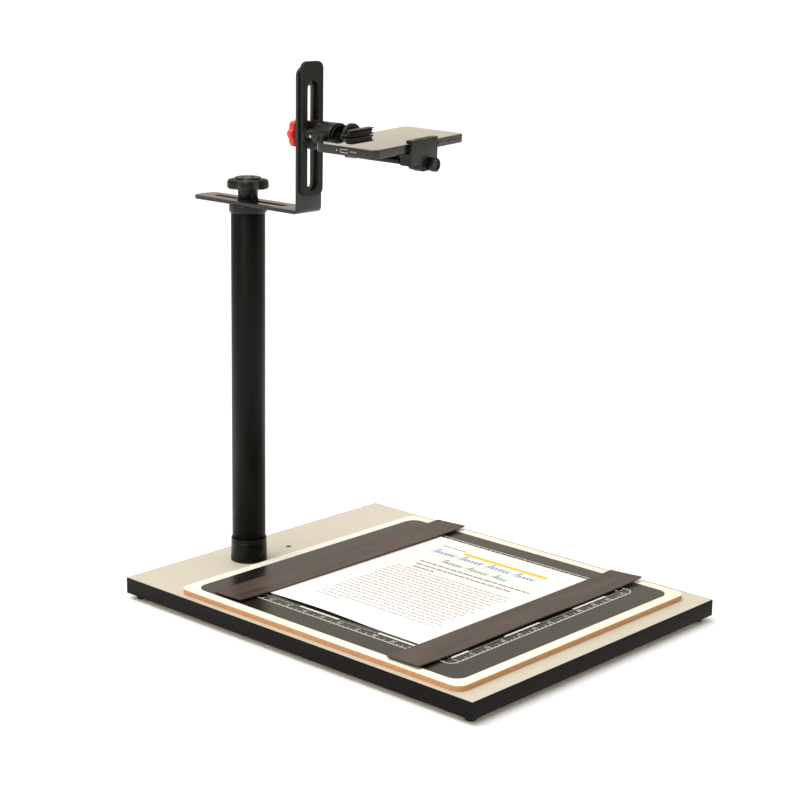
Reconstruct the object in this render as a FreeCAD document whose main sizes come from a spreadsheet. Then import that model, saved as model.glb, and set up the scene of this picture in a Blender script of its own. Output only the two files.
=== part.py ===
import FreeCAD, Part
import Sketcher
import math
import os
import re
from FreeCAD import Placement, Rotation, Vector

# Book scanner: a laminate copy board with a column, a slotted arm, a ball head and a sprung
# clamp that holds a telephone over a page kept flat by two magnetic strips.
# Frame: millimetres, +Z up, origin on the table under the middle of the whole stand, which is
# the board with the arm that reaches past its rear edge. The column stands near the +Y edge
# and the telephone's long side runs along X.

SIZES = {
    "base_width": (406.0, "board size along X"),
    "base_depth": (508.0, "board size along Y"),
    "base_thick": (18.0, "board thickness with both laminates"),
    "board_shift_y": (-13.5, "board centre along Y"),
    "laminate_thick": (0.8, "plastic laminate thickness"),
    "band_thick": (1.0, "edge band thickness"),
    "foot_height": (6.0, "rubber foot height under the board"),
    "foot_radius": (7.5, "rubber foot radius"),
    "foot_inset": (12.0, "foot centre from each board edge"),
    "panel_width": (380.0, "copy panel size along X"),
    "panel_depth": (405.0, "copy panel size along Y"),
    "panel_thick": (6.0, "copy panel thickness"),
    "panel_face_thick": (0.4, "white face of the copy panel"),
    "panel_corner": (12.0, "copy panel corner radius"),
    "panel_shift_x": (-5.0, "copy panel centre along X"),
    "panel_shift_y": (-41.5, "copy panel centre along Y"),
    "sheet_width": (355.0, "steel sheet size along X"),
    "sheet_depth": (379.0, "steel sheet size along Y"),
    "sheet_thick": (0.5, "steel sheet thickness"),
    "sheet_corner": (14.0, "steel sheet corner radius"),
    "page_length": (280.0, "page size along X"),
    "page_width": (236.0, "page size along Y"),
    "page_thick": (0.3, "page thickness"),
    "page_shift_x": (2.5, "page centre along X"),
    "page_shift_y": (-32.5, "page centre along Y"),
    "strip_length": (367.0, "magnetic strip length along X"),
    "strip_width": (42.0, "magnetic strip width along Y"),
    "strip_thick": (1.6, "magnetic strip thickness"),
    "strip_back_y": (97.5, "centre line of the back strip"),
    "strip_front_y": (-164.5, "centre line of the front strip"),
    "column_x": (-60.0, "column axis along X"),
    "column_y": (193.5, "column axis along Y"),
    "column_radius": (19.0, "column tube outer radius"),
    "column_wall": (2.0, "column tube wall"),
    "column_length": (401.5, "column tube length above the board"),
    "collar_height": (27.0, "foot collar height"),
    "collar_foot": (1.9, "foot collar beyond the column at the board"),
    "collar_top": (1.1, "foot collar beyond the column at its rim"),
    "slip_gap": (0.08, "clearance of parts pushed together"),
    "plug_length": (30.0, "length of the plugs inside the tube"),
    "cap_rim": (2.0, "column cap flange beyond the column"),
    "cap_height": (9.0, "column cap flange height"),
    "cap_chamfer": (2.0, "bevel under the cap flange"),
    "stud_radius": (3.0, "clamping stud radius"),
    "run_gap": (0.05, "running clearance round studs"),
    "washer_thick": (1.0, "friction washer thickness"),
    "arm_width": (35.0, "arm plate width"),
    "arm_thick": (4.0, "arm plate thickness"),
    "arm_front_y": (97.3, "outer face of the upright leg"),
    "arm_back_y": (267.5, "rear end of the level leg"),
    "arm_rise": (156.0, "upright leg height"),
    "arm_corner": (10.0, "rounding of the arm ends"),
    "bend_outer": (6.0, "outer bend radius"),
    "bend_inner": (2.0, "inner bend radius"),
    "slot_width": (8.0, "arm slot width"),
    "level_slot_front": (133.5, "front end of the level slot"),
    "level_slot_back": (245.5, "back end of the level slot"),
    "upright_slot_low": (28.0, "low end of the upright slot above the arm underside"),
    "upright_slot_high": (136.5, "high end of the upright slot above the arm underside"),
    "pad_width": (30.6, "friction pad width"),
    "pad_thick": (4.4, "friction pad thickness"),
    "pad_low": (19.5, "friction pad low end above the arm underside"),
    "pad_high": (161.3, "friction pad high end above the arm underside"),
    "pad_slot_width": (16.0, "friction pad slot width"),
    "pad_slot_low": (25.0, "friction pad slot low end above the arm underside"),
    "pad_slot_high": (141.5, "friction pad slot high end above the arm underside"),
    "knob_stem_radius": (11.1, "top knob stem radius"),
    "knob_stem_height": (11.0, "top knob stem height"),
    "knob_head_height": (11.5, "top knob lobe height"),
    "knob_crown_radius": (14.5, "top knob crown radius"),
    "knob_crown_height": (1.8, "top knob crown height"),
    "knob_lobe_ring": (14.1, "distance of the top knob lobes from its axis"),
    "knob_lobe_radius": (9.0, "top knob lobe radius"),
    "head_rise": (84.5, "head axis above the arm underside"),
    "flange_radius": (16.0, "head flange radius"),
    "flange_thick": (3.0, "head flange thickness"),
    "key_gap": (0.2, "clearance of the head key in the pad slot"),
    "key_length": (22.0, "head key length along the slot"),
    "neck_radius": (6.6, "head neck radius"),
    "neck_length": (10.9, "head neck length"),
    "barrel_radius": (5.75, "radius of the pinch screw barrel beside the neck"),
    "barrel_off": (9.6, "pinch screw barrel beside the head axis"),
    "barrel_rise": (1.9, "pinch screw barrel above the head axis"),
    "socket_radius": (15.5, "ball socket outer radius"),
    "socket_length": (25.0, "ball socket length"),
    "ball_radius": (9.5, "ball radius"),
    "ball_depth": (18.0, "ball centre from the back of the socket"),
    "ball_gap": (0.08, "clearance round the ball"),
    "liner_thick": (0.6, "ball liner thickness"),
    "mouth_radius": (8.3, "opening of the socket's retaining ring"),
    "ring_thick": (3.0, "retaining ring thickness"),
    "stem_radius": (4.0, "ball stem radius"),
    "disc_radius": (16.0, "clamp mounting disc radius"),
    "disc_thick": (4.0, "clamp mounting disc thickness"),
    "disc_shift": (5.5, "clamp mounting disc along the telephone from the ball"),
    "lock_radius": (5.0, "ball lock knob radius"),
    "lock_length": (7.0, "ball lock knob length"),
    "red_radius": (17.3, "red knob overall radius"),
    "red_lobe_radius": (4.6, "red knob lobe radius"),
    "red_thick": (8.6, "red knob lobed part thickness"),
    "red_boss": (5.1, "red knob boss length"),
    "clamp_yaw": (6.6, "clamp turned about Z, degrees"),
    "clamp_pitch": (-1.8, "clamp turned about Y, degrees"),
    "clamp_roll": (1.6, "clamp turned about X, degrees"),
    "ball_along": (-14.0, "ball centre along the telephone from its middle"),
    "ball_reach": (24.4, "ball centre beyond the telephone's long side"),
    "phone_length": (160.0, "telephone length"),
    "phone_width": (78.0, "telephone width"),
    "phone_thick": (9.0, "telephone thickness"),
    "phone_corner": (9.0, "telephone corner radius"),
    "screen_inset": (2.2, "screen glass inset from the frame's edge"),
    "screen_thick": (0.6, "screen glass thickness"),
    "grip_gap": (0.3, "gap between the telephone and the jaws"),
    "far_width": (37.5, "far jaw size along the telephone"),
    "far_shift": (2.6, "far jaw middle along the telephone from the ball"),
    "near_width": (46.0, "near jaw size along the telephone"),
    "near_shift": (12.9, "near jaw middle along the telephone from the ball"),
    "jaw_wall": (3.0, "jaw wall thickness"),
    "far_lip": (11.0, "far jaw lip reach over the screen"),
    "far_lip_thick": (2.1, "far jaw lip height above the screen"),
    "finger_height": (7.6, "grooved finger height above the screen"),
    "finger_depth": (7.2, "grooved finger size across the telephone"),
    "near_lip": (2.8, "near jaw lip reach over the screen"),
    "near_over": (4.0, "near jaw height above the screen"),
    "jaw_under": (4.5, "jaw depth under the telephone"),
    "jaw_rib": (1.2, "rubber pad rib height"),
    "rod_radius": (2.5, "guide rod radius"),
    "rod_spread": (22.0, "distance between the guide rods"),
    "rod_shift": (7.0, "middle of the guide rods along the telephone from the ball"),
    "rod_drop": (4.0, "guide rods below the jaw shelves"),
    "sleeve_length": (55.5, "spring sleeve length"),
    "block_depth": (7.8, "depth of the lower blocks"),
    "far_block_cut": (8.0, "far block set in from the far jaw end"),
    "lock_depth": (15.7, "depth of the near block round the jaw lock knob"),
    "lock_width": (22.9, "size of the near block round the jaw lock knob"),
    "bump_radius": (4.0, "round boss under the near block"),
    "lock_along": (26.0, "jaw lock knob along the telephone from the ball"),
    "lock_drop": (9.6, "jaw lock knob below the jaw shelves"),
    "block_length": (14.0, "length of the lower blocks across the telephone"),
    "knuckle_radius": (7.2, "jaw lock knob radius"),
    "knuckle_length": (6.0, "jaw lock knob length"),
}

AXIS = {
    "z": Rotation(),
    "-y": Rotation(Vector(1, 0, 0), 90),
    "y": Rotation(Vector(1, 0, 0), -90),
    "-x": Rotation(Vector(0, 1, 0), -90),
    "x": Rotation(Vector(0, 1, 0), 90),
}

doc = FreeCAD.newDocument("BookScanner")
WORD = re.compile(r"[a-z_]+")
finished = []


def make_sheet():
    sheet = doc.addObject("Spreadsheet::Sheet", "Sizes")
    for row, (alias, (value, meaning)) in enumerate(SIZES.items(), 1):
        sheet.set("A%d" % row, meaning)
        sheet.set("B%d" % row, str(value))
        sheet.setAlias("B%d" % row, alias)
    doc.recompute()
    return sheet


def size(alias):
    return float(getattr(doc.getObject("Sizes"), alias))


def formula(text):
    """Turn size names in a formula into references to the sheet."""
    return WORD.sub(lambda m: "Sizes." + m.group(0) if m.group(0) in SIZES else m.group(0), text)


def bind(thing, prop, text):
    thing.setExpression(prop, formula(str(text)))


def place(thing, at, axis="z", turn=0.0):
    """Bind a position and point the thing's own Z along an axis."""
    thing.Placement = Placement(Vector(), AXIS[axis].multiply(Rotation(Vector(0, 0, 1), turn)))
    for letter, text in zip("xyz", at):
        bind(thing, "Placement.Base." + letter, text)


def box(name, dims, at):
    """A block centred on X and Y that stands on its lowest face."""
    block = doc.addObject("Part::Box", name)
    for prop, text in zip(("Length", "Width", "Height"), dims):
        bind(block, prop, text)
    place(block, ("%s - (%s) / 2" % (at[0], dims[0]), "%s - (%s) / 2" % (at[1], dims[1]), at[2]))
    return block


def cylinder(name, radius, height, at, axis="z"):
    rod = doc.addObject("Part::Cylinder", name)
    bind(rod, "Radius", radius)
    bind(rod, "Height", height)
    place(rod, at, axis)
    return rod


def cone(name, low, high, height, at, axis="z"):
    taper = doc.addObject("Part::Cone", name)
    bind(taper, "Radius1", low)
    bind(taper, "Radius2", high)
    bind(taper, "Height", height)
    place(taper, at, axis)
    return taper


def ball(name, radius, at):
    sphere = doc.addObject("Part::Sphere", name)
    bind(sphere, "Radius", radius)
    place(sphere, at)
    return sphere


def fuse(name, shapes):
    joined = doc.addObject("Part::MultiFuse", name)
    joined.Shapes = shapes
    joined.Refine = True
    return joined


def cut(name, base, tools):
    """Take one or more tools away from a base."""
    tool = tools[0] if len(tools) == 1 else fuse(name + "_tools", tools)
    result = doc.addObject("Part::Cut", name)
    result.Base = base
    result.Tool = tool
    result.Refine = True
    return result


def group(name, shapes):
    """Separate solids that share one node."""
    together = doc.addObject("Part::Compound", name)
    together.Links = shapes
    return together


def finish(thing, label, placement=None):
    thing.Label = label
    if placement is not None:
        thing.Placement = placement
    finished.append(thing)
    return thing


def outline(body, plane, points):
    """Closed sketch whose corners are all bound to formulas."""
    sketch = body.newObject("Sketcher::SketchObject", body.Name + "_sketch")
    origin_plane = [f for f in body.Origin.OriginFeatures if f.Role == plane][0]
    sketch.AttachmentSupport = (origin_plane, [""])
    sketch.MapMode = "FlatFace"
    doc.recompute()
    count = len(points)
    rough = []
    for n in range(count):
        angle = 2 * math.pi * n / count
        rough.append(Vector(100 * math.cos(angle), 100 * math.sin(angle), 0))
    for n in range(count):
        sketch.addGeometry(Part.LineSegment(rough[n], rough[(n + 1) % count]), False)
    for n in range(count):
        sketch.addConstraint(Sketcher.Constraint("Coincident", n, 2, (n + 1) % count, 1))
    for n, (across, up) in enumerate(points):
        for kind, text, axis_line in (("DistanceX", across, -2), ("DistanceY", up, -1)):
            if text == "0":
                sketch.addConstraint(Sketcher.Constraint("PointOnObject", n, 1, axis_line))
                continue
            index = sketch.addConstraint(Sketcher.Constraint(kind, -1, 1, n, 1, 10.0))
            bind(sketch, "Constraints[%d]" % index, text)
    doc.recompute()
    return sketch


def padded_body(name, plane, points, thick, midplane=False):
    body = doc.addObject("PartDesign::Body", name)
    sketch = outline(body, plane, points)
    pad = body.newObject("PartDesign::Pad", name + "_pad")
    pad.Profile = sketch
    pad.Midplane = midplane
    bind(pad, "Length", thick)
    doc.recompute()
    return body


def turned_body(name, points):
    """Body of revolution about Z from a profile of radius and height."""
    body = doc.addObject("PartDesign::Body", name)
    sketch = outline(body, "XZ_Plane", points)
    turn = body.newObject("PartDesign::Revolution", name + "_turn")
    turn.Profile = sketch
    turn.ReferenceAxis = (sketch, ["V_Axis"])
    turn.Angle = 360.0
    doc.recompute()
    return body


def round_edges(body, test, radius):
    """Fillet the body's edges that pass a test on their middle point and direction."""
    tip = body.Tip
    names = []
    for n, edge in enumerate(tip.Shape.Edges, 1):
        if edge.Curve.TypeId != "Part::GeomLine":
            continue
        middle = edge.valueAt((edge.FirstParameter + edge.LastParameter) / 2)
        direction = (edge.Vertexes[1].Point - edge.Vertexes[0].Point).normalize()
        if test(middle, direction):
            names.append("Edge%d" % n)
    fillet = body.newObject("PartDesign::Fillet", "%s_round_%d" % (body.Name, len(body.Group)))
    fillet.Base = (tip, names)
    bind(fillet, "Radius", radius)
    body.Tip = fillet
    doc.recompute()
    return fillet


def plate(name, width, depth, thick, corner, at, axis="z"):
    """Flat plate centred on its own axes with rounded corners."""
    half_w, half_d = "(%s) / 2" % width, "(%s) / 2" % depth
    corners = [("-" + half_w, "-" + half_d), (half_w, "-" + half_d), (half_w, half_d), ("-" + half_w, half_d)]
    body = padded_body(name, "XY_Plane", corners, thick)
    if corner:
        round_edges(body, lambda middle, way: abs(way.z) > 0.9, corner)
    place(body, at, axis)
    return body


def obround(name, width, length, depth, at, axis="z"):
    """Slot cutter: long along its own Y, cutting along its own Z."""
    return plate(name, width, length, depth, "(%s) / 2 - 0.001" % width, at, axis)


# ---------------------------------------------------------------- board and feet

BOARD_AT = ("0", "board_shift_y")
BOARD_TOP = "foot_height + base_thick"
CORE_LOW = "foot_height + laminate_thick"
BOLT_HEAD_DEEP = "8"
SPARE_X, SPARE_Y = "2.8", "192.5"


def foot_places():
    spots = []
    for sx in ("-", ""):
        for sy in ("-", ""):
            x = "%s(base_width / 2 - foot_inset)" % sx
            y = "board_shift_y + %s1 * (base_depth / 2 - foot_inset)" % sy
            spots.append((x, y))
    return spots


def make_board():
    wide, deep = "base_width - 2 * band_thick", "base_depth - 2 * band_thick"
    core = box("core", (wide, deep, "base_thick - 2 * laminate_thick"), BOARD_AT + (CORE_LOW,))
    holes = [
        cylinder("core_bolt_hole", "4.25", "base_thick", ("column_x", "column_y", CORE_LOW)),
        cylinder("core_counterbore", "10.5", BOLT_HEAD_DEEP, ("column_x", "column_y", CORE_LOW)),
        cylinder("core_spare_hole", "2", "12", (SPARE_X, SPARE_Y, BOARD_TOP + " - 12")),
    ]
    for n, (x, y) in enumerate(foot_places()):
        holes.append(cylinder("core_foot_hole_%d" % n, "1.5", "10", (x, y, CORE_LOW)))
    finish(cut("core_drilled", core, holes), "base_core")

    top = box("top_skin", (wide, deep, "laminate_thick"), BOARD_AT + (BOARD_TOP + " - laminate_thick",))
    top_holes = [
        cylinder("top_bolt_hole", "4.25", "2", ("column_x", "column_y", BOARD_TOP + " - 1")),
        cylinder("top_spare_hole", "3.4", "2", (SPARE_X, SPARE_Y, BOARD_TOP + " - 1")),
    ]
    finish(cut("top_skin_drilled", top, top_holes), "top_laminate")

    bottom = box("bottom_skin", (wide, deep, "laminate_thick"), BOARD_AT + ("foot_height",))
    bottom_holes = [cylinder("bottom_bolt_hole", "10.5", "4", ("column_x", "column_y", "foot_height - 1"))]
    for n, (x, y) in enumerate(foot_places()):
        bottom_holes.append(cylinder("bottom_foot_hole_%d" % n, "1.5", "4", (x, y, "foot_height - 1")))
    finish(cut("bottom_skin_drilled", bottom, bottom_holes), "bottom_laminate")

    outer = box("band_outer", ("base_width", "base_depth", "base_thick"), BOARD_AT + ("foot_height",))
    inner = box("band_inner", (wide, deep, "base_thick + 2"), BOARD_AT + ("foot_height - 1",))
    finish(cut("band_ring", outer, [inner]), "edge_band")


def make_feet():
    feet, screws = [], []
    for n, (x, y) in enumerate(foot_places()):
        bumper = cone("bumper_%d" % n, "foot_radius - 2", "foot_radius", "foot_height", (x, y, "0"))
        recess = cylinder("recess_%d" % n, "3.6", "2.5", (x, y, "-0.5"))
        hole = cylinder("bumper_hole_%d" % n, "1.5", "6", (x, y, "0"))
        feet.append(cut("foot_%d" % n, bumper, [recess, hole]))
        head = cylinder("screw_head_%d" % n, "3.4", "1.2", (x, y, "0.8"))
        shank = cylinder("screw_shank_%d" % n, "1.5", "foot_height + 6", (x, y, "1.5"))
        screws.append(fuse("foot_screw_%d" % n, [head, shank]))
    finish(group("feet", feet), "rubber_feet")
    finish(group("screws", screws), "foot_screws")
    head = cylinder("spare_head", "3.4", "laminate_thick",
                    (SPARE_X, SPARE_Y, BOARD_TOP + " - laminate_thick"))
    shank = cylinder("spare_shank", "2", "11", (SPARE_X, SPARE_Y, BOARD_TOP + " - 11.5"))
    finish(fuse("spare_screw", [head, shank]), "column_locating_screw")


# ---------------------------------------------------------------- column

COLUMN_AT = ("column_x", "column_y")
TUBE_TOP = "foot_height + base_thick + column_length"
CAP_TOP = TUBE_TOP + " + cap_height"
ARM_LOW = CAP_TOP + " + washer_thick"


def make_column():
    inner = "column_radius + slip_gap"
    wide = "column_radius + collar_foot"
    slim = "column_radius + collar_top"
    collar = turned_body("collar", [
        (inner, "0"), (wide, "0"), (wide, "3"), (slim, "collar_height - 4"),
        (slim + " - 0.5", "collar_height - 4"), (slim + " - 0.5", "collar_height - 3"),
        (slim, "collar_height - 3"), (slim, "collar_height"), (inner, "collar_height")])
    place(collar, COLUMN_AT + (BOARD_TOP,))
    finish(collar, "column_collar")

    outer = cylinder("tube_outer", "column_radius", "column_length", COLUMN_AT + (BOARD_TOP,))
    bore = cylinder("tube_bore", "column_radius - column_wall", "column_length + 2",
                    COLUMN_AT + (BOARD_TOP + " - 1",))
    finish(cut("tube", outer, [bore]), "column_tube")

    plug_radius = "column_radius - column_wall - slip_gap"
    plug = cylinder("foot_plug", plug_radius, "plug_length", COLUMN_AT + (BOARD_TOP,))
    plug_hole = cylinder("foot_plug_hole", "4.05", "plug_length + 2", COLUMN_AT + (BOARD_TOP + " - 1",))
    finish(cut("foot_plug_drilled", plug, [plug_hole]), "column_foot_plug")

    bolt_low = CORE_LOW + " + 0.7"
    head = cylinder("bolt_head", "6.5", "5.5", COLUMN_AT + (bolt_low,))
    socket = cylinder("bolt_socket", "3", "3", COLUMN_AT + (bolt_low + " - 0.2",))
    shank = cylinder("bolt_shank", "4", "37", COLUMN_AT + (bolt_low + " + 5",))
    finish(cut("bolt", fuse("bolt_solid", [head, shank]), [socket]), "column_bolt")

    washer_low = bolt_low + " + 5.5"
    disc = cylinder("bolt_washer_disc", "10", "1.8", COLUMN_AT + (washer_low,))
    hole = cylinder("bolt_washer_hole", "4.1", "4", COLUMN_AT + (washer_low + " - 1",))
    finish(cut("bolt_washer", disc, [hole]), "column_bolt_washer")


def make_cap():
    cap = turned_body("cap", [
        ("5", "-plug_length"), ("column_radius - column_wall - slip_gap", "-plug_length"),
        ("column_radius - column_wall - slip_gap", "0"), ("column_radius + cap_rim - cap_chamfer", "0"),
        ("column_radius + cap_rim", "cap_chamfer"),
        ("column_radius + cap_rim", "cap_height"), ("5", "cap_height")])
    place(cap, COLUMN_AT + (TUBE_TOP,))
    finish(cap, "column_cap")
    insert = turned_body("insert", [
        ("stud_radius + run_gap", "-plug_length"), ("4.95", "-plug_length"),
        ("4.95", "cap_height"), ("stud_radius + run_gap", "cap_height")])
    place(insert, COLUMN_AT + (TUBE_TOP,))
    finish(insert, "cap_thread_insert")
    washer = turned_body("friction_ring", [
        ("stud_radius + 0.4", "0"), ("column_radius", "0"),
        ("column_radius", "washer_thick"), ("stud_radius + 0.4", "washer_thick")])
    place(washer, COLUMN_AT + (CAP_TOP,))
    finish(washer, "friction_washer")


# ---------------------------------------------------------------- arm

ARM_TOP = ARM_LOW + " + arm_thick"


def make_arm():
    profile = [
        ("arm_front_y", "0"), ("arm_back_y", "0"), ("arm_back_y", "arm_thick"),
        ("arm_front_y + arm_thick", "arm_thick"), ("arm_front_y + arm_thick", "arm_rise"),
        ("arm_front_y", "arm_rise")]
    body = padded_body("arm", "YZ_Plane", profile, "arm_width", midplane=True)
    front, back, rise, thick = size("arm_front_y"), size("arm_back_y"), size("arm_rise"), size("arm_thick")
    round_edges(body, lambda p, way: abs(way.z) > 0.9 and abs(p.y - back) < 0.1, "arm_corner")
    round_edges(body, lambda p, way: abs(way.y) > 0.9 and abs(p.z - rise) < 0.1, "arm_corner")
    round_edges(body, lambda p, way: abs(way.x) > 0.9 and abs(p.y - front) < 0.1 and abs(p.z) < 0.1,
                "bend_outer")
    round_edges(body, lambda p, way: abs(way.x) > 0.9 and abs(p.y - front - thick) < 0.1
                and abs(p.z - thick) < 0.1, "bend_inner")
    place(body, ("column_x", "0", ARM_LOW))
    level_slot = obround("level_slot", "slot_width", "level_slot_back - level_slot_front", "arm_thick + 4",
                         ("column_x", "(level_slot_back + level_slot_front) / 2", ARM_LOW + " - 2"))
    upright_slot = obround("upright_slot", "slot_width", "upright_slot_high - upright_slot_low",
                           "arm_thick + 4", ("column_x", "arm_front_y + arm_thick + 2",
                            ARM_LOW + " + (upright_slot_high + upright_slot_low) / 2"), "-y")
    finish(cut("arm_slotted", body, [level_slot, upright_slot]), "arm_bracket")

    slab = plate("slab", "pad_width", "pad_high - pad_low", "pad_thick", "arm_corner - 2",
                 ("column_x", "arm_front_y", ARM_LOW + " + (pad_high + pad_low) / 2"), "-y")
    slab_slot = obround("slab_slot", "pad_slot_width", "pad_slot_high - pad_slot_low", "pad_thick + 4",
                        ("column_x", "arm_front_y + 2",
                         ARM_LOW + " + (pad_slot_high + pad_slot_low) / 2"), "-y")
    finish(cut("slab_slotted", slab, [slab_slot]), "friction_pad")


# ---------------------------------------------------------------- knobs

def lobes(name, count, ring, radius, height, at, axis, start):
    """Equal cylinders standing round an axis."""
    rods = []
    for n in range(count):
        angle = start + 360.0 * n / count
        side, up = "(%s) * cos(%g)" % (ring, angle), "(%s) * sin(%g)" % (ring, angle)
        if axis == "z":
            spot = ("%s + %s" % (at[0], side), "%s + %s" % (at[1], up), at[2])
        else:
            spot = ("%s + %s" % (at[0], side), at[1], "%s + %s" % (at[2], up))
        rods.append(cylinder("%s_%d" % (name, n), radius, height, spot, axis))
    return rods


def make_top_knob():
    low = ARM_TOP + " + 1.5"
    x, y = COLUMN_AT
    stem = cylinder("knob_stem", "knob_stem_radius", "knob_stem_height + 1", (x, y, low))
    lobe_low = low + " + knob_stem_height"
    hub = cylinder("knob_hub", "knob_crown_radius + 1", "knob_head_height", (x, y, lobe_low))
    lobe_rods = lobes("knob_lobe", 4, "knob_lobe_ring", "knob_lobe_radius", "knob_head_height",
                      (x, y, lobe_low), "z", 45)
    crown_low = lobe_low + " + knob_head_height"
    crown = cone("knob_crown", "knob_crown_radius", "knob_crown_radius - 2", "knob_crown_height",
                 (x, y, crown_low))
    solid = fuse("knob_solid", [stem, hub, crown] + lobe_rods)
    pockets = lobes("knob_pocket", 4, "7", "2.6", "4", (x, y, crown_low + " + knob_crown_height - 3"), "z", 0)
    bore = cylinder("knob_bore", "stud_radius", "12", (x, y, low + " - 1"))
    finish(cut("knob_cut", solid, pockets + [bore]), "top_knob")

    deep = "20"
    stud = cylinder("top_stud", "stud_radius", "11 + 1.5 + arm_thick + washer_thick + " + deep,
                    (x, y, CAP_TOP + " - " + deep))
    finish(stud, "top_knob_stud")
    washer = turned_body("top_washer", [("stud_radius + run_gap", "0"), ("12", "0"), ("12", "1.5"),
                                        ("stud_radius + run_gap", "1.5")])
    place(washer, (x, y, ARM_TOP))
    finish(washer, "top_knob_washer")


HEAD_Z = ARM_LOW + " + head_rise"
LEG_BACK = "arm_front_y + arm_thick"
FACE_Y = "arm_front_y - pad_thick"


def make_red_knob():
    x, z = "column_x", HEAD_Z
    boss = cylinder("red_boss_rod", "9", "red_boss + 1", (x, LEG_BACK + " + 1.5", z), "y")
    body_low = LEG_BACK + " + 1.5 + red_boss"
    hub = cylinder("red_hub", "red_radius - red_lobe_radius * 0.62", "red_thick", (x, body_low, z), "y")
    rods = lobes("red_lobe", 8, "red_radius - red_lobe_radius", "red_lobe_radius", "red_thick",
                 (x, body_low, z), "y", 22.5)
    cap = cylinder("red_cap", "9", "red_thick + 1", (x, body_low, z), "y")
    bore = cylinder("red_bore", "stud_radius", "red_boss + 8", (x, LEG_BACK, z), "y")
    finish(cut("red_cut", fuse("red_solid", [boss, hub, cap] + rods), [bore]), "red_knob")
    stud = cylinder("red_rod", "stud_radius", "red_boss + 7.5 + arm_thick + pad_thick + 12",
                    (x, FACE_Y + " - 12", z), "y")
    finish(stud, "red_knob_stud")
    disc = cylinder("red_washer_disc", "9.5", "1.5", (x, LEG_BACK, z), "y")
    hole = cylinder("red_washer_hole", "stud_radius + run_gap", "4", (x, LEG_BACK + " - 1", z), "y")
    finish(cut("red_washer", disc, [hole]), "red_knob_washer")


# ---------------------------------------------------------------- ball head

SOCKET_BACK = FACE_Y + " - flange_thick - neck_length"
BALL_Y = SOCKET_BACK + " - ball_depth"
SOCKET_FRONT = SOCKET_BACK + " - socket_length"


def make_head():
    x, z = "column_x", HEAD_Z
    flange = cylinder("flange", "flange_radius", "flange_thick", (x, FACE_Y, z), "-y")
    key = obround("key", "pad_slot_width - 2 * key_gap", "key_length", "pad_thick - key_gap",
                  (x, "arm_front_y - key_gap", z), "-y")
    neck = cylinder("neck", "neck_radius", "neck_length", (x, FACE_Y + " - flange_thick", z), "-y")
    bore = cylinder("head_bore", "stud_radius + run_gap", "pad_thick + 14",
                    (x, FACE_Y + " + pad_thick + 1", z), "-y")
    barrel = cylinder("barrel", "barrel_radius", "neck_length",
                      (x + " - barrel_off", FACE_Y + " - flange_thick", z + " + barrel_rise"), "-y")
    pinch_at = (x + " - barrel_off - barrel_radius + 2.6", FACE_Y + " - flange_thick - 8", z)
    pinch = cylinder("pinch_hole", "1.5", "6", pinch_at, "-x")
    solid = fuse("head_base_solid", [flange, key, neck, barrel])
    finish(cut("head_base_cut", solid, [bore, pinch]), "head_base")
    screw = cylinder("pinch_screw", "1.45", "2.4", pinch_at, "-x")
    finish(screw, "head_set_screw")

    shell = cylinder("shell", "socket_radius", "socket_length", (x, SOCKET_BACK, z), "-y")
    room = "ball_radius + 2 * ball_gap + liner_thick"
    cavity = ball("cavity", room, (x, BALL_Y, z))
    throat = cylinder("throat", room, "socket_length", (x, BALL_Y, z), "-y")
    lock_hole = cylinder("lock_hole", "2.05", "20", (x, BALL_Y, z), "-x")
    finish(cut("socket", shell, [cavity, throat, lock_hole]), "ball_socket")

    liner_outer = ball("liner_outer", "ball_radius + ball_gap + liner_thick", (x, BALL_Y, z))
    liner_inner = ball("liner_inner", "ball_radius + ball_gap", (x, BALL_Y, z))
    liner_open = cylinder("liner_open", "ball_radius + 2", "30", (x, BALL_Y + " + 5", z), "-y")
    finish(cut("liner", liner_outer, [liner_inner, liner_open]), "ball_liner")

    ring = cylinder("ring", "socket_radius - 1.5", "ring_thick", (x, SOCKET_FRONT, z), "-y")
    mouth = cone("mouth", "mouth_radius", "mouth_radius + 1.5", "ring_thick + 0.02",
                 (x, SOCKET_FRONT + " + 0.01", z), "-y")
    seat = ball("ring_seat", "ball_radius + ball_gap", (x, BALL_Y, z))
    finish(cut("ring_cut", ring, [mouth, seat]), "socket_ring")

    lock_start = x + " - socket_radius - 0.3"
    handle = cylinder("lock_handle", "lock_radius", "lock_length", (lock_start, BALL_Y, z), "-x")
    pocket = cylinder("lock_pocket", "lock_radius - 2.5", "1.5",
                      (lock_start + " - lock_length + 1", BALL_Y, z), "-x")
    pin = cylinder("lock_pin", "2", "socket_radius - ball_radius + 0.3 - 0.4",
                   (x + " - ball_radius - 0.4", BALL_Y, z), "-x")
    finish(fuse("lock", [cut("lock_handle_cut", handle, [pocket]), pin]), "ball_lock_knob")


# ---------------------------------------------------------------- telephone and clamp

def clamp_frame():
    """Placement of the clamp: origin at the telephone's middle, X along it, Z out of its screen."""
    turned = Rotation(size("clamp_yaw"), size("clamp_pitch"), size("clamp_roll"))
    ball_z = size("foot_height") + size("base_thick") + size("column_length") + size("cap_height")
    ball_z += size("washer_thick") + size("head_rise")
    ball_y = size("arm_front_y") - size("pad_thick") - size("flange_thick")
    ball_y -= size("neck_length") + size("ball_depth")
    ball_at = Vector(size("column_x"), ball_y, ball_z)
    local = Vector(size("ball_along"), size("phone_width") / 2 + size("ball_reach"), 0)
    return Placement(ball_at - turned.multVec(local), turned)


PHONE_SIDE = "phone_width / 2"
JAW_FACE = "phone_width / 2 + grip_gap"
SCREEN = "phone_thick / 2"


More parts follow.
